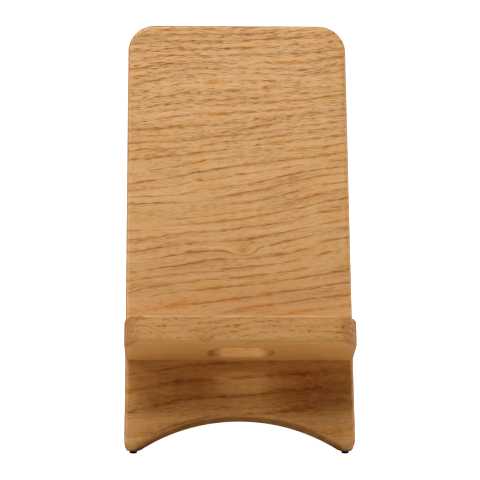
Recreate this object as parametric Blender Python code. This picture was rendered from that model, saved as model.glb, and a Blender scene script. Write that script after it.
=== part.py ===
"""A wooden phone stand in two boards that slot together, with rubber pads under its feet.

The back panel leans back from upright. The shelf plank stands square to it: its wide front is the
ledge that holds the phone, and its narrow tail runs through a mortise in the panel and down to the
table, where it is the rear leg. Metres, +Z up. The stand faces -Y and rests on Z = 0.

The origin is on the table, at the middle of the stand's width and depth.

Board coordinates, used for everything cut from a board: x across, u up along the panel's front
face from its lower edge, n straight out of the front face.
"""

from math import acos, cos, pi, radians, sin

import bmesh
import bpy
from mathutils import Matrix, Vector

MM = 0.001

# Boards
LEAN = radians(25)                 # the panel, back from upright
BOARD_THICKNESS = 10 * MM
GAP = 0.3 * MM                     # clearance between two pieces that meet
EDGE_RADIUS = 1.5 * MM             # hand-softened edges
FINE_EDGE_RADIUS = 0.8 * MM        # the shelf's upper edges

# Back panel
PANEL_WIDTH = 80 * MM
PANEL_LENGTH = 160 * MM
TOP_CORNER_RADIUS = 10 * MM
FOOT_CORNER_RADIUS = 3 * MM
FOOT_WIDTH = 4 * MM                # each side of the arch, at its lower edge
ARCH_HEIGHT = 11.3 * MM

# Shelf plank
SHELF_HEIGHT = 31 * MM             # its underside, up along the panel
SHELF_DEPTH = 22 * MM              # out from the panel
SHELF_CORNER_RADIUS = 7.5 * MM
SHOULDER = 0.5 * MM                # step from the shelf's faces in to the tail's
TAIL_WIDTH = 45 * MM
TAIL_FLAT = 9 * MM                 # the level cut under the tail's end
TAIL_EDGE_RADIUS = 1 * MM
TAIL_CORNER_RADIUS = 2 * MM
MORTISE_CORNER_RADIUS = 1 * MM

# Cable slot through the shelf
CABLE_SLOT_LENGTH = 23 * MM
CABLE_SLOT_WIDTH = 11.5 * MM
CABLE_SLOT_TO_PANEL = 4.3 * MM
CABLE_SLOT_RIM_RADIUS = 0.5 * MM

# Rubber pads
PAD_THICKNESS = 0.6 * MM
FOOT_LEVEL_CUT = 1.6 * MM          # height of the corner sawn level off each foot's back edge
FOOT_PAD_DIAMETER = 2.6 * MM
FOOT_PAD_FROM_BACK = 1.9 * MM      # pad centre to the panel's back face, measured level
FOOT_PAD_FROM_SIDE = 3.1 * MM
TAIL_PAD_DIAMETER = 5.5 * MM
TAIL_PAD_FROM_END = 3.25 * MM      # pad centre to the tail's end face, measured level
TAIL_PAD_SPACING = 33 * MM

# Worked out from the dimensions above
HALF_WIDTH = PANEL_WIDTH / 2
HALF_CHORD = HALF_WIDTH - FOOT_WIDTH
ARCH_RADIUS = (HALF_CHORD**2 + ARCH_HEIGHT**2) / (2 * ARCH_HEIGHT)
SAWN_LEVEL = PAD_THICKNESS + GAP   # height of every level cut above the table
PANEL_LIFT = BOARD_THICKNESS * sin(LEAN) - FOOT_LEVEL_CUT + SAWN_LEVEL
SHELF_MIDDLE = SHELF_HEIGHT + BOARD_THICKNESS / 2
TAIL_THICKNESS = BOARD_THICKNESS - 2 * SHOULDER
TAIL_UNDERSIDE = SHELF_HEIGHT + SHOULDER
TAIL_TOUCHDOWN = (SAWN_LEVEL - PANEL_LIFT - TAIL_UNDERSIDE * cos(LEAN)) / sin(LEAN)
TAIL_END = TAIL_TOUCHDOWN - TAIL_FLAT * cos(LEAN)
CABLE_SLOT_MIDDLE = CABLE_SLOT_TO_PANEL + CABLE_SLOT_WIDTH / 2
SHELF_REACH = (
    (SHELF_DEPTH - EDGE_RADIUS) * cos(LEAN) - (SHELF_HEIGHT + EDGE_RADIUS) * sin(LEAN) + EDGE_RADIUS
)                                  # how far the shelf comes forward of the panel's lower edge
TAIL_REACH = (
    (TAIL_UNDERSIDE + TAIL_THICKNESS - TAIL_EDGE_RADIUS) * sin(LEAN)
    - (TAIL_END + TAIL_EDGE_RADIUS) * cos(LEAN)
    + TAIL_EDGE_RADIUS
)                                  # how far the tail goes back from it

ARC_STEPS = 12                     # straight pieces in a quarter turn
ARCH_STEPS = 60
EDGE_STEPS = 5                     # straight pieces round an edge
PAD_SEGMENTS = 32
CUTTER_MARGIN = 5 * MM             # how far a cutter runs past the wood
TOUCHING = 0.0005 * MM             # points closer than this are at the same place
SMOOTH_ANGLE = radians(35)         # edges sharper than this stay crisp

# Finishes, as linear colour and roughness
PANEL_OAK = ((0.52, 0.29, 0.12), 0.5)
PLANK_OAK = ((0.50, 0.28, 0.12), 0.5)
PAD_RUBBER = ((0.02, 0.02, 0.02), 0.8)


def clear_scene():
    for obj in list(bpy.data.objects):
        bpy.data.objects.remove(obj, do_unlink=True)


def material(name, colour, roughness):
    made = bpy.data.materials.new(name)
    made.use_nodes = True
    shader = made.node_tree.nodes["Principled BSDF"]
    shader.inputs["Base Color"].default_value = (*colour, 1)
    shader.inputs["Roughness"].default_value = roughness
    shader.inputs["Metallic"].default_value = 0
    return made


def board_frame():
    """From board coordinates (x, u, n) to the world."""
    lower_edge = Matrix.Translation((0, (SHELF_REACH - TAIL_REACH) / 2, PANEL_LIFT))
    return lower_edge @ Matrix.Rotation(pi / 2 - LEAN, 4, "X")


def arc(centre, radius, start, end, steps):
    """Points along an arc, both ends included. Angles in radians, from the first axis."""
    turn = (end - start) / steps
    return [
        (centre[0] + radius * cos(start + i * turn), centre[1] + radius * sin(start + i * turn))
        for i in range(steps + 1)
    ]


def add_object(name, mesh_builder, surface):
    mesh = bpy.data.meshes.new(name)
    mesh_builder.normal_update()
    mesh_builder.to_mesh(mesh)
    mesh_builder.free()
    for face in mesh.polygons:
        face.use_smooth = True
    mesh.set_sharp_from_angle(angle=SMOOTH_ANGLE)
    obj = bpy.data.objects.new(name, mesh)
    bpy.context.collection.objects.link(obj)
    if surface:
        mesh.materials.append(surface)
    return obj


def loft(loops):
    """A closed solid through loops of equally many points, lowest first, anticlockwise from above."""
    built = bmesh.new()
    rings = [[built.verts.new(point) for point in loop] for loop in loops]
    built.faces.new(reversed(rings[0]))
    built.faces.new(rings[-1])
    for lower, upper in zip(rings, rings[1:]):
        for i in range(len(lower)):
            j = (i + 1) % len(lower)
            built.faces.new((lower[i], lower[j], upper[j], upper[i]))
    bmesh.ops.remove_doubles(built, verts=built.verts, dist=TOUCHING)
    return built


def prism(outline, low, high):
    return loft([[(x, y, height) for x, y in outline] for height in (low, high)])


def board(outline, thickness, low_radius, high_radius):
    """A board about Z = 0 with rounded edges. outline(inset) gives its shape at a rounded edge."""
    half = thickness / 2
    lower = arc((low_radius, low_radius - half), low_radius, 1.5 * pi, pi, EDGE_STEPS)
    upper = arc((high_radius, half - high_radius), high_radius, pi, pi / 2, EDGE_STEPS)
    return loft([[(x, y, height) for x, y in outline(inset)] for inset, height in lower + upper])


def rounded_rectangle(width, length, radius):
    """Outline about the origin, width along the first axis."""
    x, y = width / 2 - radius, length / 2 - radius
    corners = [(x, -y, -pi / 2), (x, y, 0), (-x, y, pi / 2), (-x, -y, pi)]
    outline = []
    for cx, cy, start in corners:
        outline += arc((cx, cy), radius, start, start + pi / 2, ARC_STEPS)
    return outline


def panel_outline(inset):
    """The panel from the front in x, u: right foot, right side, top, left side, left foot, arch."""
    foot = HALF_WIDTH - FOOT_CORNER_RADIUS
    top_x = HALF_WIDTH - TOP_CORNER_RADIUS
    top_u = PANEL_LENGTH - TOP_CORNER_RADIUS
    arch_radius = ARCH_RADIUS + inset
    arch_centre = ARCH_HEIGHT - ARCH_RADIUS
    arch_end = acos((inset - arch_centre) / arch_radius)
    corners = [
        (foot, FOOT_CORNER_RADIUS, FOOT_CORNER_RADIUS, -pi / 2),
        (top_x, top_u, TOP_CORNER_RADIUS, 0),
        (-top_x, top_u, TOP_CORNER_RADIUS, pi / 2),
        (-foot, FOOT_CORNER_RADIUS, FOOT_CORNER_RADIUS, pi),
    ]
    outline = []
    for x, u, radius, start in corners:
        outline += arc((x, u), radius - inset, start, start + pi / 2, ARC_STEPS)
    outline += arc((0, arch_centre), arch_radius, pi / 2 + arch_end, pi / 2 - arch_end, ARCH_STEPS)
    return outline


def cutter(name, built, transform):
    obj = add_object(name, built, None)
    obj.matrix_world = transform
    obj.hide_render = True
    obj.display_type = "WIRE"
    return obj


def boolean(obj, name, operation, other):
    modifier = obj.modifiers.new(name, "BOOLEAN")
    modifier.operation = operation
    modifier.object = other
    modifier.solver = "EXACT"


def level_saw():
    """Everything under the height of the level cuts, to take off the feet and the tail's end."""
    reach = PANEL_LENGTH
    outline = [(-reach, -reach), (reach, -reach), (reach, reach), (-reach, reach)]
    return cutter("level_saw", prism(outline, -reach, SAWN_LEVEL), Matrix.Identity(4))


def mortise_cutter(frame):
    outline = rounded_rectangle(
        TAIL_WIDTH + 2 * GAP, TAIL_THICKNESS + 2 * GAP, MORTISE_CORNER_RADIUS
    )
    built = prism(outline, -BOARD_THICKNESS - CUTTER_MARGIN, CUTTER_MARGIN)
    return cutter("mortise_cutter", built, frame @ Matrix.Translation((0, SHELF_MIDDLE, 0)))


def back_panel(frame, wood, saw):
    built = board(panel_outline, BOARD_THICKNESS, EDGE_RADIUS, EDGE_RADIUS)
    panel = add_object("back_panel", built, wood)
    panel.matrix_world = frame @ Matrix.Translation((0, 0, -BOARD_THICKNESS / 2))
    boolean(panel, "mortise", "DIFFERENCE", mortise_cutter(frame))
    boolean(panel, "level_feet", "DIFFERENCE", saw)
    return panel


def shelf_outline(inset):
    """The shelf in x, n: its rear edge stays square against the panel, its front corners are round."""
    x = HALF_WIDTH - SHELF_CORNER_RADIUS
    n = SHELF_DEPTH - SHELF_CORNER_RADIUS
    radius = SHELF_CORNER_RADIUS - inset
    outline = [(inset - HALF_WIDTH, GAP), (HALF_WIDTH - inset, GAP)]
    outline += arc((x, n), radius, 0, pi / 2, ARC_STEPS)
    outline += arc((-x, n), radius, pi / 2, pi, ARC_STEPS)
    return outline


def tail_outline(inset):
    """The tail in x, n. It starts inside the shelf, so that the two join into one board."""
    x = TAIL_WIDTH / 2 - TAIL_CORNER_RADIUS
    n = TAIL_END + TAIL_CORNER_RADIUS
    radius = TAIL_CORNER_RADIUS - inset
    start = CABLE_SLOT_TO_PANEL / 2
    outline = arc((-x, n), radius, pi, 1.5 * pi, ARC_STEPS)
    outline += arc((x, n), radius, 1.5 * pi, 2 * pi, ARC_STEPS)
    outline += [(TAIL_WIDTH / 2 - inset, start), (inset - TAIL_WIDTH / 2, start)]
    return outline


def cable_slot_shape():
    """The cable slot as a cutter: round ends, and rims that open out at both faces of the shelf."""
    half = BOARD_THICKNESS / 2
    rim = CABLE_SLOT_RIM_RADIUS
    flare = arc((rim, half - rim), rim, pi, pi / 2, EDGE_STEPS) + [(rim, half + CUTTER_MARGIN)]
    loops = []
    for outset, height in [(out, -height) for out, height in reversed(flare)] + flare:
        width = CABLE_SLOT_WIDTH + 2 * outset
        outline = rounded_rectangle(CABLE_SLOT_LENGTH + 2 * outset, width, width / 2)
        loops.append([(x, y, height) for x, y in outline])
    return loft(loops)


def shelf_plank(frame, wood, saw):
    """The shelf and its tail, one board, drawn with its underside facing local +Z.

    Its origin lies on the line that it slides along.
    """
    lying = frame @ Matrix.Translation((0, SHELF_MIDDLE, 0)) @ Matrix.Rotation(pi / 2, 4, "X")
    plank = add_object(
        "shelf_plank", board(shelf_outline, BOARD_THICKNESS, FINE_EDGE_RADIUS, EDGE_RADIUS), wood
    )
    plank.matrix_world = lying
    tail = board(tail_outline, TAIL_THICKNESS, TAIL_EDGE_RADIUS, TAIL_EDGE_RADIUS)
    boolean(plank, "tail", "UNION", cutter("tail_shape", tail, lying))
    slot = lying @ Matrix.Translation((0, CABLE_SLOT_MIDDLE, 0))
    boolean(plank, "cable_slot", "DIFFERENCE", cutter("cable_slot_shape", cable_slot_shape(), slot))
    boolean(plank, "level_end", "DIFFERENCE", saw)
    return plank


def pad(name, diameter, x, y, rubber, owner):
    """A thin round pad standing on the table and fixed under its owner."""
    built = bmesh.new()
    bmesh.ops.create_cone(
        built,
        cap_ends=True,
        segments=PAD_SEGMENTS,
        radius1=diameter / 2,
        radius2=diameter / 2,
        depth=PAD_THICKNESS,
    )
    obj = add_object(name, built, rubber)
    obj.parent = owner
    obj.matrix_parent_inverse = owner.matrix_world.inverted()
    obj.location = (x, y, PAD_THICKNESS / 2)
    return obj


def add_pads(frame, rubber, panel, plank):
    """Two pads under the panel's feet and two under the tail's end."""
    foot_back = (frame @ Vector((0, FOOT_LEVEL_CUT / cos(LEAN), -BOARD_THICKNESS))).y
    tail_end = (frame @ Vector((0, TAIL_UNDERSIDE, TAIL_TOUCHDOWN))).y + TAIL_FLAT
    for side, name in ((-1, "left"), (1, "right")):
        foot_x = side * (HALF_WIDTH - FOOT_PAD_FROM_SIDE)
        foot_y = foot_back - FOOT_PAD_FROM_BACK
        pad(f"foot_pad_{name}", FOOT_PAD_DIAMETER, foot_x, foot_y, rubber, panel)
        tail_x = side * TAIL_PAD_SPACING / 2
        tail_y = tail_end - TAIL_PAD_FROM_END
        pad(f"tail_pad_{name}", TAIL_PAD_DIAMETER, tail_x, tail_y, rubber, plank)


def build():
    clear_scene()
    panel_oak = material("panel_oak", *PANEL_OAK)
    plank_oak = material("plank_oak", *PLANK_OAK)
    rubber = material("pad_rubber", *PAD_RUBBER)
    frame = board_frame()
    saw = level_saw()
    panel = back_panel(frame, panel_oak, saw)
    plank = shelf_plank(frame, plank_oak, saw)
    bpy.context.view_layer.update()
    add_pads(frame, rubber, panel, plank)


build()
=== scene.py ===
"""The looks of the oak phone stand: wood, rubber pads, a pale floor, studio light and a camera.

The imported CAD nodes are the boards. Their wood is worked out in board coordinates, in
millimetres: x across the stand, u up along the panel's front face from its lower edge, n
straight out of that face. Both boards have their grain running along x.
"""

from math import cos, pi, radians, sin
from typing import NamedTuple

import bmesh
import bpy
from mathutils import Matrix, Vector


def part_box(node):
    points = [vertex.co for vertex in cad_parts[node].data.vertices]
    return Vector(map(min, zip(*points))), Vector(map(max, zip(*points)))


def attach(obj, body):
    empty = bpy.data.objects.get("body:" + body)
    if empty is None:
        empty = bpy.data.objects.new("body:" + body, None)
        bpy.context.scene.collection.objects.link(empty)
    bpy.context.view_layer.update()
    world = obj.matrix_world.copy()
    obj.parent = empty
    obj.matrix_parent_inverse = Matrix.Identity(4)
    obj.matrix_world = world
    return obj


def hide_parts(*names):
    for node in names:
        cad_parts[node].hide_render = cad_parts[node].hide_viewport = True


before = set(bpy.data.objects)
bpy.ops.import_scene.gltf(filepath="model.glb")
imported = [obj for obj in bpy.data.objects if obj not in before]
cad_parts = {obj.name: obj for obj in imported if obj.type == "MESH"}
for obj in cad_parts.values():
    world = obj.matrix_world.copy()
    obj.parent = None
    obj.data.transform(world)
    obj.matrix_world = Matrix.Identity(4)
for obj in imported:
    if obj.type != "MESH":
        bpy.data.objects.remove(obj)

bpy.context.view_layer.update()

MM = 0.001

# Boards
LEAN = radians(25)                      # the panel, back from upright
PANEL_LENGTH = 160 * MM
BOARD_THICKNESS = 10 * MM
EDGE_RADIUS = 1.5 * MM
SMOOTH_ANGLE = radians(35)              # edges sharper than this stay crisp
WELD_DISTANCE = 0.001 * MM

# Wood, in millimetres. A mark's size is its length along the grain and its width across it
BROAD_TONE = (55, 8)
BAND_TONE = (30, 1.5)
FINE_TONE = (2.5, 0.33)
BLUSH = (24, 3)
GILT = (16, 4)
BEADS = (3.5, 0.45)
FIBRE = (3, 0.12)
STROKE_WIDTH = 0.4
STROKE_STRETCH = 2.5                    # how much longer a stroke is than a pore
WAVES = ((95, 50, 14), (26, 7, 1.6), (8, 3.5, 0.7))     # each a length, width and height
SWIRL = (2.6, 1.8)                      # the size of the waves in a knot
BAND_REACH = 80.0                       # how far a band of shade reaches across the board
RING_DRIFT = (7, 1.2)                   # rings widen and narrow over this length, by this many rings
EARLY_WOOD = 0.4                        # where it starts, as a share of its ring
RAY_LENGTH = 6
RAY_DEPTH = 30
GRAIN_DEPTH = 0.05 * MM                 # this one in metres

# Rubber
MOTTLE_SIZE = 0.5                       # this and the next in millimetres
SPECK_SIZE = 0.06
SPECK_DEPTH = 0.02 * MM

# Colours, as sRGB values from 0 to 255. The oak's own are with each board
END_GRAIN_TINT = (228, 220, 215)
# painted shade for the panel's top edge, which faces the light from above
TOP_EDGE_PAINTED_SHADE = (212, 200, 192)
RUBBER_BLACK = (30, 27, 25)
RUBBER_GREY = (44, 40, 37)
WHITE = (255, 255, 255)

# Bumpers
SOLE_HOLLOW = 0.08 * MM                 # how far the middle of the sole is off the table
HOLLOW_REACH = 0.55                     # as a share of the radius
SOLE_REACH = 0.72
SOLE_ROUND = 0.25 * MM
BULGE_HEIGHT = 0.4                      # where the side is widest, as a share of the height
GLUE = 0.28 * MM
GLUE_INSET = 0.08 * MM
ROUND_STEPS = 6
TURN_STEPS = 48
TOUCHING = 0.0001 * MM                  # points closer than this are at the same place

# Camera
VIEW_AZIMUTH = radians(-1.737)
VIEW_ELEVATION = radians(5.815)
VIEW_ROLL = radians(0.333)
VIEW_DISTANCE = 0.72869
VIEW_TARGET = Vector((0.00053, -0.01036, 0.07211))
LENS = 153.318                          # millimetres, as is the sensor
SENSOR = 36
NEAREST_SEEN = 0.01

# Light. Angles are in degrees: azimuth 0 is in front, and negative is to the left
STAND_MIDDLE = Vector((0, 0, 0.07))
LAMPS = {
    "key": {"power": 10.4, "size": 0.8, "distance": 1.0, "azimuth": -29, "elevation": 75.5},
    "side": {"power": 10.0, "size": 0.6, "distance": 2.0, "azimuth": -75, "elevation": 35},
    "left": {"power": 0.4, "size": 0.5, "distance": 0.8, "azimuth": -100, "elevation": 18},
    "right": {"power": 3.0, "size": 0.5, "distance": 0.8, "azimuth": 100, "elevation": 18},
}
FILL_FRONT = 0.04                       # how brightly the backdrop lights the stand, from each way
FILL_SIDE = 0.07
FILL_BACK = 0.3
BACKDROP = 1.2                          # how bright the camera sees it

# Floor: how much it reflects under the stand and away from it, and where that changes. Reflecting less
# under the stand is a painted shadow
FLOOR_HALF_WIDTH = 20
FLOOR_NEAR_PAINTED_SHADOW = 0.6
FLOOR_FAR = 0.94
NEAR_REACH = 0.04
FAR_REACH = 0.1
FLOOR_ROUGHNESS = 0.9

# The film's response, from scene brightness to print brightness, both as sRGB values: shadows deepen
FILM_CURVE = ((40, 6), (80, 43), (120, 96), (175, 166), (230, 228))
ALL_CHANNELS = 3                        # Blender's place for the curve that acts on red, green and blue


def panel_foot():
    """The middle of the lower edge of the panel's front face, from the panel's rounded top edges."""
    _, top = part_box("back_panel")
    straight_length = PANEL_LENGTH - EDGE_RADIUS
    straight_thickness = BOARD_THICKNESS - EDGE_RADIUS
    return Vector((
        0,
        top.y - EDGE_RADIUS - straight_length * sin(LEAN) - straight_thickness * cos(LEAN),
        top.z - EDGE_RADIUS - straight_length * cos(LEAN) + EDGE_RADIUS * sin(LEAN),
    ))


# Node graphs


class Wire:
    """A node's output. Arithmetic on it adds Math nodes to the graph."""

    def __init__(self, graph, socket):
        self.graph = graph
        self.socket = socket

    def __add__(self, other):
        return self.graph.math("ADD", self, other)

    def __radd__(self, other):
        return self.graph.math("ADD", other, self)

    def __sub__(self, other):
        return self.graph.math("SUBTRACT", self, other)

    def __rsub__(self, other):
        return self.graph.math("SUBTRACT", other, self)

    def __mul__(self, other):
        return self.graph.math("MULTIPLY", self, other)

    def __rmul__(self, other):
        return self.graph.math("MULTIPLY", other, self)

    def __truediv__(self, other):
        return self.graph.math("DIVIDE", self, other)


class Graph:
    """A material's node graph, written as plain expressions."""

    def __init__(self, name=None, tree=None):
        if tree is None:
            self.material = bpy.data.materials.new(name)
            self.material.use_nodes = True
            tree = self.material.node_tree
            self.shader = tree.nodes["Principled BSDF"]
        self.tree = tree

    def connect(self, value, socket):
        if isinstance(value, Wire):
            self.tree.links.new(value.socket, socket)
        else:
            socket.default_value = value

    def node(self, kind, inputs, output=0, **settings):
        made = self.tree.nodes.new(kind)
        for name, value in settings.items():
            setattr(made, name, value)
        for key, value in inputs.items():
            self.connect(value, made.inputs[key])
        return Wire(self, made.outputs[output])

    def math(self, operation, *values, clamp=False):
        return self.node(
            "ShaderNodeMath", dict(enumerate(values)), operation=operation, use_clamp=clamp
        )

    def clamp(self, value):
        """The value, kept from 0 to 1."""
        return self.math("MULTIPLY", value, 1.0, clamp=True)

    def join(self, x, y, z):
        return self.node("ShaderNodeCombineXYZ", {0: x, 1: y, 2: z})

    def split(self, vector):
        return [self.node("ShaderNodeSeparateXYZ", {0: vector}, output=i) for i in range(3)]

    def place(self):
        """Where a point is, in its object's own metres."""
        return self.node("ShaderNodeTexCoord", {}, output="Object")

    def seen(self):
        """1 where the camera looks straight at a point, and 0 where light bounces from it."""
        return self.node("ShaderNodeLightPath", {}, output="Is Camera Ray")

    def noise(self, x, y, z, detail=2.0, roughness=0.5):
        """Smooth noise around 0, mostly within 0.25 either side."""
        found = self.node(
            "ShaderNodeTexNoise",
            {"Vector": self.join(x, y, z), "Scale": 1.0, "Detail": detail, "Roughness": roughness},
        )
        return found - 0.5

    def step(self, value, low, high):
        """0 below low, 1 above high, and a smooth rise between them."""
        return self.node(
            "ShaderNodeMapRange",
            {"Value": value, "From Min": low, "From Max": high},
            interpolation_type="SMOOTHSTEP",
        )

    def line(self, value, low, high, start, end):
        """start at low, end at high, straight between them and constant outside."""
        return self.node(
            "ShaderNodeMapRange",
            {"Value": value, "From Min": low, "From Max": high, "To Min": start, "To Max": end},
        )

    def mix(self, factor, first, second, blend_type="MIX"):
        return self.node(
            "ShaderNodeMix",
            {0: factor, 6: colour(first), 7: colour(second)},
            output=2,
            data_type="RGBA",
            blend_type=blend_type,
        )

    def tint(self, base, shade):
        """The base colour under a tint, as if through coloured glass."""
        return self.mix(1.0, base, shade, blend_type="MULTIPLY")

    def finish(self, base, roughness, height, depth):
        self.connect(base, self.shader.inputs["Base Color"])
        self.connect(roughness, self.shader.inputs["Roughness"])
        bump = self.node(
            "ShaderNodeBump", {"Height": height, "Distance": depth, "Strength": 1.0}
        )
        self.connect(bump, self.shader.inputs["Normal"])
        return self.material


def linear(value):
    """An sRGB value from 0 to 255 as linear brightness."""
    return value / 255 / 12.92 if value < 10.3 else ((value / 255 + 0.055) / 1.055) ** 2.4


def colour(value):
    """An sRGB colour as the linear one that nodes take; a wire stays as it is."""
    if isinstance(value, Wire):
        return value
    return (*[linear(v) for v in value], 1)


# Wood


class Knot(NamedTuple):
    """A swirl in the grain about a point of the board's face. All but shade is in millimetres."""

    x: float
    u: float
    reach_x: float
    reach_u: float
    lift: float                         # how far the grain is pushed aside
    curl: float                         # how high its waves are
    shade: float                        # how much darker it is


class ToneAndPaintedLightBand(NamedTuple):
    """A darker band across the board, or a paler one where shade is negative. Some are painted shade or
    painted light; these are noted where the bands are given.
    """

    u: float
    reach: float
    shade: float


class Grain:
    """The run of a board's grain, as wires that hold, at each point of the wood:

    along, u, n     where it is in the straight grain, with the climb and the waves taken out
    angle, radius   which way and how far it is from the pith
    ring, offset    which ring it is in, and how far it is from the start of the early wood
    shade           how much darker it is there: the knots' darkening and the bands, some painted shade or painted light

    pith is in u, n. rise and dive are how far the grain climbs in u and n for each unit of x.
    """

    def __init__(self, graph, place, seed, pith, rise, dive, ring_width, knots, bands):
        g = self.graph = graph
        x, u, n = place
        self.along = x + seed
        sway = 0.0
        for length, width, height in WAVES:
            sway = g.noise(self.along / length, u / width, n / width) * height + sway
        self.shade = 0.0
        for knot in knots:
            about = hump(g, (x - knot.x) / knot.reach_x, (u - knot.u) / knot.reach_u)
            length, width = SWIRL
            swirl = g.noise(self.along / length, u / width, n / width)
            sway = sway + about * (swirl * knot.curl + knot.lift)
            self.shade = about * knot.shade + self.shade
        for band in bands:
            about = hump(g, x / BAND_REACH, (u - band.u) / band.reach)
            self.shade = about * band.shade + self.shade

        self.u = u - rise(g, u) * x + sway
        self.n = n - x * dive
        from_pith_u = self.u - pith[0]
        from_pith_n = self.n - pith[1]
        self.angle = g.math("ARCTAN2", from_pith_n, from_pith_u)
        self.radius = g.math("SQRT", from_pith_u * from_pith_u + from_pith_n * from_pith_n)
        drift_length, drift = RING_DRIFT
        rings = self.radius / ring_width + g.noise(self.radius / drift_length, seed, 0.0) * drift
        self.ring = g.math("FLOOR", rings)
        self.offset = g.math("ABSOLUTE", rings - self.ring - EARLY_WOOD) * ring_width

    def streaks(self, size, shift=0.0, **settings):
        """Noise in streaks of this length and width. Another shift gives another set of them."""
        length, width = size
        return self.graph.noise(
            self.along / length, self.u / width, self.n / width + shift, **settings
        )

    def by_ring(self, length, change, depth):
        """Noise that differs from ring to ring and varies over this length along each."""
        return self.graph.noise(self.along / length, self.ring * change, depth)


def hump(g, across, along):
    """1 where both distances are 0, falling smoothly to 0 about it."""
    return g.math("EXPONENT", 0 - (across * across + along * along))


def board_place(g):
    """Where a point is, in board coordinates in millimetres, and the way its surface faces."""
    tilt = pi / 2 - LEAN
    place = g.node(
        "ShaderNodeMapping",
        {
            "Vector": g.place(),
            "Location": panel_foot(),
            "Rotation": (tilt, 0, 0),
            "Scale": (MM, MM, MM),
        },
        vector_type="TEXTURE",
    )
    local = g.node(
        "ShaderNodeVectorTransform",
        {0: g.node("ShaderNodeNewGeometry", {}, output="Normal")},
        vector_type="NORMAL",
        convert_from="WORLD",
        convert_to="OBJECT",
    )
    facing = g.node(
        "ShaderNodeVectorRotate", {"Vector": local, "Angle": -tilt}, rotation_type="X_AXIS"
    )
    return g.split(place), [g.math("ABSOLUTE", part) for part in g.split(facing)]


def oak(name, tones, figure, pores, rays, crowding, calm, **run):
    """Oak, solid through the board: rings round the pith, pores along the grain, rays out from it.

    figure is how strongly each kind of mark shows, pores is their size and how much more of them
    there are where early wood starts, and rays is their number and how far a surface has turned to
    the board's end where end grain starts and is full. crowding and calm change the number of
    pores and the contrast of all marks up along the board. run is what Grain takes.
    """
    g = Graph(name)
    place, (end, edge, _) = board_place(g)
    u = place[1]
    grain = Grain(g, place, **run)
    crowd = crowding(g, u)
    contrast = calm(g, u)

    # veins: broken dark lines where each ring's early wood starts, and loose strokes near them
    spread = grain.by_ring(7, 5.3, 0.0) * 0.9 + 0.34
    present = g.step(grain.by_ring(24, 3.1, grain.n / 9), -0.17, 0.0)
    beads = g.step(grain.streaks(BEADS), -0.16, 0.06)
    close = 1 - g.step(grain.offset, 0.2, 1.2)
    broken = (1 - g.step(grain.offset / spread, 0.2, 1.0)) * present * (beads * 0.7 + 0.3)
    strokes = grain.streaks((pores["length"] * STROKE_STRETCH, STROKE_WIDTH), detail=1.0)
    strokes = g.step(strokes + close * 0.1, 0.18, 0.30) * 0.7
    vein = g.math("MAXIMUM", broken, strokes) * (0.85 - crowd * 0.35)

    # dashes: short dark pores
    dashes = grain.streaks((pores["length"], pores["width"]), detail=1.0)
    dash = g.step(dashes + close * pores["at_rings"] + crowd * 0.09, 0.19, 0.28)

    # tone: lighter above 0 and darker below
    tone = grain.streaks(BROAD_TONE) * figure["broad"]
    tone = tone + grain.streaks(BAND_TONE) * figure["bands"]
    tone = tone + grain.streaks(FINE_TONE, detail=3.0, roughness=0.6) * figure["fine"]
    # grain.shade holds the knots' darkening and the bands, among them painted shade under the ledge and
    # painted light on the plank's underside
    tone = tone - vein * figure["vein"] - dash * figure["dash"] - grain.shade * (beads * 0.6 + 0.4)
    tone = tone * contrast

    # colour, with an orange glow along some of the veins
    blush = g.step(grain.streaks(BLUSH, shift=40), -0.05, 0.15)
    gilt = g.step(grain.streaks(GILT, shift=60), 0.0, 0.2)
    glow = (1 - g.step(grain.offset, 0.1, 0.8)) * present
    glow = glow * g.step(grain.by_ring(9, 2.1, 7.0), -0.02, 0.1)
    base = g.mix(blush * 0.5, tones["middle"], tones["pink"])
    base = g.mix(gilt * 0.5, base, tones["gold"])
    base = g.mix(g.clamp(tone), base, tones["light"])
    base = g.mix(glow * contrast * figure["orange"], base, tones["orange"])
    base = g.mix(g.clamp(tone * -1), base, tones["dark"])

    # end grain: a little darker, with pale rays that fan out from the pith
    fan = (grain.angle * rays["number"], grain.radius / RAY_LENGTH, grain.along / RAY_DEPTH)
    pale = g.step(g.noise(*fan, detail=1.0), 0.06, 0.16) * 0.35
    cut = g.mix(pale, g.tint(base, END_GRAIN_TINT), tones["light"])
    across = g.step(end, rays["start"], rays["full"])
    base = g.mix(across, base, cut)

    # the panel's top edge: painted shade, darker where its rounding faces the light from above
    panel_top = PANEL_LENGTH / MM
    top = g.step(edge, 0.15, 0.8) * g.step(u, panel_top - 4, panel_top - 1)
    base = g.mix(top, base, g.tint(base, TOP_EDGE_PAINTED_SHADE))

    roughness = 0.46 + dash * 0.2 + across * 0.12
    height = grain.streaks(FIBRE, detail=1.0) * 0.35 - dash - vein * 0.6
    return g.finish(base, roughness, height, GRAIN_DEPTH)


def panel_rise(g, u):
    """The grain climbs most in the panel's middle."""
    return g.line(u, 100.0, 150.0, 0.125, 0.06) * g.line(u, 25.0, 45.0, 0.2, 1.0)


def panel_crowding(g, u):
    """Pores crowd in the upper third."""
    return g.line(u, 100.0, 122.0, -0.35, 1.0)


def panel_calm(g, u):
    """Marks are weaker below the ledge."""
    return g.line(u, 28.0, 40.0, 0.75, 1.1) * g.line(u, 60.0, 110.0, 0.95, 1.05)


def plank_rise(g, u):
    """The plank's grain runs level."""
    return 0.0


def plank_crowding(g, u):
    """The underside is nearly free of pores."""
    return g.line(u, 31.5, 33.0, -1.5, 0.0)


def plank_calm(g, u):
    """Marks are weaker on the underside."""
    return g.line(u, 31.5, 33.0, 0.6, 1.0)


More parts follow.
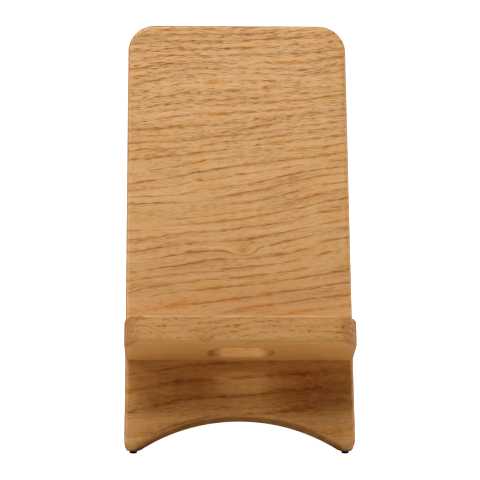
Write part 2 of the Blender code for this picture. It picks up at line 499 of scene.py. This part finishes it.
def panel_wood():
    return oak(
        "oak_panel",
        tones={
            "light": (222, 181, 143),
            "middle": (206, 163, 115),
            "dark": (150, 100, 50),
            "orange": (208, 141, 70),
            "pink": (208, 162, 124),
            "gold": (210, 161, 105),
        },
        figure={
            "broad": 0.6, "bands": 0.9, "fine": 1.5, "vein": 0.6, "dash": 0.55, "orange": 0.45,
        },
        pores={"length": 4.0, "width": 0.27, "at_rings": 0.06},
        rays={"number": 280.0, "start": 0.5, "full": 0.95},
        crowding=panel_crowding,
        calm=panel_calm,
        seed=3.0,
        pith=(-20.0, -110.0),
        rise=panel_rise,
        dive=0.03,
        ring_width=2.35,
        knots=(
            Knot(x=1.5, u=71.0, reach_x=5.0, reach_u=2.2, lift=3.6, curl=1.0, shade=0.14),
            Knot(x=-27.0, u=20.0, reach_x=9.0, reach_u=6.0, lift=0.0, curl=3.0, shade=0.2),
            Knot(x=25.0, u=22.0, reach_x=10.0, reach_u=9.0, lift=0.0, curl=4.0, shade=0.48),
        ),
        bands=(
            # painted shade: the lower panel darker, under the ledge
            ToneAndPaintedLightBand(u=14.0, reach=8.0, shade=0.32),
            # paler just above the ledge
            ToneAndPaintedLightBand(u=48.0, reach=9.0, shade=-0.22),
            ToneAndPaintedLightBand(u=137.0, reach=8.0, shade=-0.2),
        ),
    )


def plank_wood():
    return oak(
        "oak_plank",
        tones={
            "light": (213, 169, 122),
            "middle": (195, 151, 103),
            "dark": (150, 102, 56),
            "orange": (204, 142, 78),
            "pink": (199, 152, 115),
            "gold": (197, 154, 97),
        },
        figure={
            "broad": 0.6, "bands": 0.8, "fine": 0.9, "vein": 0.25, "dash": 0.55, "orange": 0.3,
        },
        pores={"length": 2.6, "width": 0.5, "at_rings": 0.14},
        rays={"number": 80.0, "start": 0.03, "full": 0.6},
        crowding=plank_crowding,
        calm=plank_calm,
        seed=57.0,
        pith=(16.0, 16.0),
        rise=plank_rise,
        dive=0.14,
        ring_width=2.3,
        knots=(
            Knot(x=-11.8, u=32.5, reach_x=2.4, reach_u=3.0, lift=2.0, curl=1.5, shade=0.3),
        ),
        bands=(
            # painted light: the plank's underside paler, as if lit more from below
            ToneAndPaintedLightBand(u=30.5, reach=1.2, shade=-0.5),
        ),
    )


# Rubber pads


def rubber(name):
    """Black rubber, faintly mottled, with a finely grained surface."""
    g = Graph(name)
    x, y, z = [axis / MM for axis in g.split(g.place())]
    mottle = g.noise(x / MOTTLE_SIZE, y / MOTTLE_SIZE, z / MOTTLE_SIZE, detail=3.0)
    specks = g.noise(x / SPECK_SIZE, y / SPECK_SIZE, z / SPECK_SIZE, detail=1.0)
    base = g.mix(g.step(mottle, -0.2, 0.2), RUBBER_BLACK, RUBBER_GREY)
    return g.finish(base, mottle * 0.3 + 0.6, specks, SPECK_DEPTH)


def bumper_profile(radius, height):
    """Half of a bumper's section, from the middle of its sole to the middle of its film of glue."""
    profile = [
        (0.0, SOLE_HOLLOW),
        (radius * HOLLOW_REACH, SOLE_HOLLOW),
        (radius * SOLE_REACH, 0.0),
    ]
    for step in range(ROUND_STEPS + 1):
        turn = pi / 2 * step / ROUND_STEPS
        reach = radius - SOLE_ROUND + SOLE_ROUND * sin(turn)
        profile.append((reach, height * BULGE_HEIGHT * (1 - cos(turn))))
    glue_reach = radius - GLUE_INSET
    glue_top = height + GLUE
    profile += [(radius, height), (glue_reach, height), (glue_reach, glue_top), (0.0, glue_top)]
    return profile


def bumper(node):
    """A stick-on rubber bumper in place of a CAD pad: rounded sides, a slightly hollow sole and,
    above it, the film of glue that holds it to the wood.
    """
    low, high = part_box(node)
    middle = (low + high) / 2
    profile = bumper_profile((high.x - low.x) / 2, high.z - low.z)
    built = bmesh.new()
    ring = [built.verts.new((reach, 0, up)) for reach, up in profile]
    edges = [built.edges.new(pair) for pair in zip(ring, ring[1:])]
    bmesh.ops.spin(
        built,
        geom=ring + edges,
        cent=(0, 0, 0),
        axis=(0, 0, 1),
        angle=2 * pi,
        steps=TURN_STEPS,
        use_merge=True,
    )
    bmesh.ops.remove_doubles(built, verts=built.verts, dist=TOUCHING)
    bmesh.ops.recalc_face_normals(built, faces=built.faces)
    mesh = bpy.data.meshes.new(f"{node}_bumper")
    built.to_mesh(mesh)
    built.free()
    piece = link(f"{node}_bumper", mesh)
    piece.location = (middle.x, middle.y, low.z)
    return piece


def shade_smooth(node):
    """Round surfaces shade as round and flat ones as flat, with the CAD's vertices untouched."""
    mesh = node.data
    custom = mesh.attributes.get("custom_normal")
    if custom:
        mesh.attributes.remove(custom)
    mesh.polygons.foreach_set("use_smooth", [True] * len(mesh.polygons))
    for edge in mesh.edges:
        edge.use_edge_sharp = False
    weld = node.modifiers.new("weld", "WELD")
    weld.merge_threshold = WELD_DISTANCE
    split = node.modifiers.new("split", "EDGE_SPLIT")
    split.split_angle = SMOOTH_ANGLE
    weighted = node.modifiers.new("weighted", "WEIGHTED_NORMAL")
    weighted.weight = 100               # the largest face at a corner decides


def dress(node, material):
    shade_smooth(node)
    node.data.materials.clear()
    node.data.materials.append(material)


# Stage


def link(name, data):
    obj = bpy.data.objects.new(name, data)
    bpy.context.collection.objects.link(obj)
    return obj


def direction(azimuth, elevation):
    return Vector((
        sin(azimuth) * cos(elevation),
        -cos(azimuth) * cos(elevation),
        sin(elevation),
    ))


def make_camera():
    data = bpy.data.cameras.new("camera")
    data.lens = LENS
    data.sensor_width = SENSOR
    data.clip_start = NEAREST_SEEN
    camera = link("camera", data)
    back = direction(VIEW_AZIMUTH, VIEW_ELEVATION)
    place = Matrix.Translation(VIEW_TARGET + back * VIEW_DISTANCE)
    upright = (-back).to_track_quat("-Z", "Y").to_matrix().to_4x4()
    camera.matrix_world = place @ upright @ Matrix.Rotation(VIEW_ROLL, 4, "Z")
    bpy.context.scene.camera = camera


def make_floor():
    """A pale floor that the camera sees as white. Under the stand it reflects less: painted shadow."""
    built = bmesh.new()
    bmesh.ops.create_grid(built, x_segments=1, y_segments=1, size=FLOOR_HALF_WIDTH)
    mesh = bpy.data.meshes.new("floor")
    built.to_mesh(mesh)
    built.free()
    floor = link("floor", mesh)
    g = Graph("floor")
    x, y, _ = g.split(g.place())
    away = g.math("SQRT", x * x + y * y)
    # painted shadow: less reflected under the stand, so less light bounces up onto it
    shade = g.line(away, NEAR_REACH, FAR_REACH, FLOOR_NEAR_PAINTED_SHADOW, FLOOR_FAR)
    g.connect(g.join(shade, shade, shade), g.shader.inputs["Base Color"])
    g.connect(FLOOR_ROUGHNESS, g.shader.inputs["Roughness"])
    g.connect(colour(WHITE), g.shader.inputs["Emission Color"])
    g.connect(g.seen(), g.shader.inputs["Emission Strength"])
    mesh.materials.append(g.material)


def make_light(name, power, size, distance, azimuth, elevation):
    """A round soft box aimed at the stand."""
    data = bpy.data.lights.new(name, "AREA")
    data.shape = "DISK"
    data.size = size
    data.energy = power
    lamp = link(name, data)
    towards = direction(radians(azimuth), radians(elevation))
    lamp.location = STAND_MIDDLE + towards * distance
    lamp.rotation_mode = "QUATERNION"
    lamp.rotation_quaternion = (-towards).to_track_quat("-Z", "Y")


def make_world():
    """A white backdrop. The camera sees it evenly; it lights the stand from the sides and behind."""
    world = bpy.data.worlds.new("studio")
    bpy.context.scene.world = world
    world.use_nodes = True
    g = Graph(tree=world.node_tree)
    x, y, _ = g.split(g.node("ShaderNodeTexCoord", {}, output="Generated"))
    fill = FILL_FRONT + x * x * FILL_SIDE + g.math("MAXIMUM", y, 0.0) * FILL_BACK
    background = g.tree.nodes["Background"]
    g.connect(colour(WHITE), background.inputs["Color"])
    g.connect(g.math("MAXIMUM", fill, g.seen() * BACKDROP), background.inputs["Strength"])


def develop():
    """Sets how scene brightness becomes picture brightness."""
    view = bpy.context.scene.view_settings
    view.view_transform = "Standard"
    view.use_curve_mapping = True
    tone = view.curve_mapping.curves[ALL_CHANNELS]
    for scene_value, print_value in FILM_CURVE:
        tone.points.new(linear(scene_value), linear(print_value))
    view.curve_mapping.update()


# The stand, and the stage round it


dress(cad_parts["back_panel"], panel_wood())
dress(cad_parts["shelf_plank"], plank_wood())

pad_rubber = rubber("pad_rubber")
for pad, body in (
    ("foot_pad_left", "panel"),
    ("foot_pad_right", "panel"),
    ("tail_pad_left", "plank"),
    ("tail_pad_right", "plank"),
):
    piece = bumper(pad)
    dress(piece, pad_rubber)
    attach(piece, body)
    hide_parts(pad)

make_camera()
make_floor()
for name, lamp in LAMPS.items():
    make_light(name, **lamp)
make_world()
develop()
